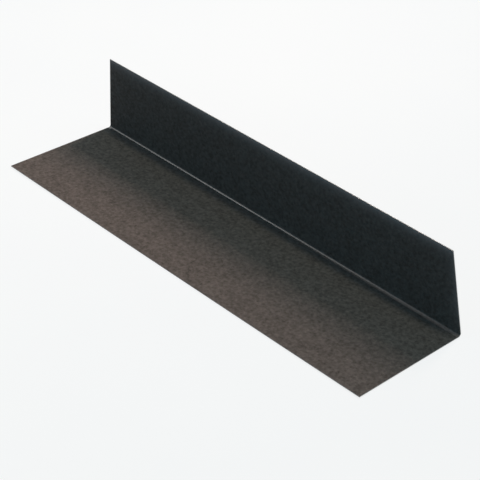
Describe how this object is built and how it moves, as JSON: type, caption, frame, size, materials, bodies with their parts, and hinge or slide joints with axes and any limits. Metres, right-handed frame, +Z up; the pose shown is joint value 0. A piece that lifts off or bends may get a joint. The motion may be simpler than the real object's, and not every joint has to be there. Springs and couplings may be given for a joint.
{
  "type": "step flashing",
  "caption": "Thin painted sheet-metal L with a flat roof leg and an upright wall leg cut on a slant at one end, for the joint between a sloped roof and a wall.",
  "frame": {"origin": "on the plane the sheet lies on, below the middle of the roof leg's length and width", "axes": "+X along the bend towards the slanted end, +Y from the roof leg's free edge towards the wall leg, +Z up the wall leg"},
  "size_m": [0.3048, 0.0826, 0.0508],
  "materials": {
    "painted_steel": "matt dark bronze paint"
  },
  "bodies": {
    "root": {"step_flashing": "painted_steel"}
  },
  "joints": []
}
